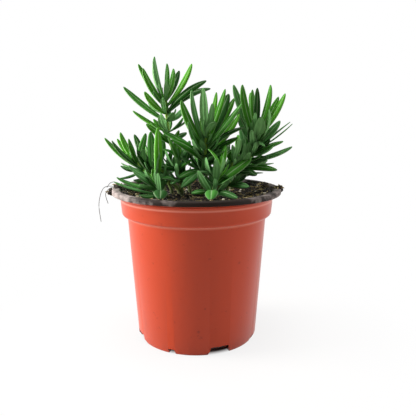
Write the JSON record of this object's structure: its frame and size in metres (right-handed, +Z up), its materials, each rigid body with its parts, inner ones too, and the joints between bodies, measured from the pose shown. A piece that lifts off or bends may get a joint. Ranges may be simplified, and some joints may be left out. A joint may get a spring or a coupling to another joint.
{
  "type": "potted lavender",
  "caption": "Young lavender plant in a round thin-walled nursery pot with a rolled rim, filled with potting soil; stands on its foot ring.",
  "frame": {"origin": "middle of the pot's foot ring, on the surface it stands on", "axes": "+Z up along the pot's axis, -Y is the front"},
  "size_m": [0.1345, 0.12, 0.201],
  "materials": {
    "pot": "thermoformed polypropylene, terracotta outside, satin",
    "soil": "dark peat with bark and coir fibre",
    "stem": "soft young green stem",
    "leaf": "matt felted narrow leaves"
  },
  "bodies": {
    "root": {"pot": "pot", "soil": "soil", "back_left_stem": "stem", "back_right_stem": "stem", "back_stem": "stem", "centre_stem": "stem", "front_stem": "stem", "inner_left_stem": "stem", "inner_right_stem": "stem", "left_front_stem": "stem", "left_stem": "stem", "middle_stem": "stem", "right_stem": "stem", "tall_stem": "stem", "back_left_whorl_1": "leaf", "back_left_whorl_2": "leaf", "back_left_whorl_3": "leaf", "back_right_whorl_1": "leaf", "back_right_whorl_2": "leaf", "back_right_whorl_3": "leaf", "back_whorl_1": "leaf", "back_whorl_2": "leaf", "back_whorl_3": "leaf", "centre_whorl_1": "leaf", "centre_whorl_2": "leaf", "centre_whorl_3": "leaf", "centre_whorl_4": "leaf", "centre_whorl_5": "leaf", "centre_whorl_6": "leaf", "front_whorl_1": "leaf", "front_whorl_2": "leaf", "front_whorl_3": "leaf", "inner_left_whorl_1": "leaf", "inner_left_whorl_2": "leaf", "inner_right_whorl_1": "leaf", "inner_right_whorl_2": "leaf", "inner_right_whorl_3": "leaf", "left_front_whorl_1": "leaf", "left_front_whorl_2": "leaf", "left_front_whorl_3": "leaf", "left_whorl_1": "leaf", "left_whorl_2": "leaf", "left_whorl_3": "leaf", "middle_whorl_1": "leaf", "middle_whorl_2": "leaf", "middle_whorl_3": "leaf", "right_whorl_1": "leaf", "right_whorl_2": "leaf", "right_whorl_3": "leaf", "right_whorl_4": "leaf", "right_whorl_5": "leaf", "right_whorl_6": "leaf", "right_whorl_7": "leaf", "tall_whorl_1": "leaf", "tall_whorl_2": "leaf", "tall_whorl_3": "leaf", "tall_whorl_4": "leaf", "tall_whorl_5": "leaf", "tall_whorl_6": "leaf"}
  },
  "joints": []
}
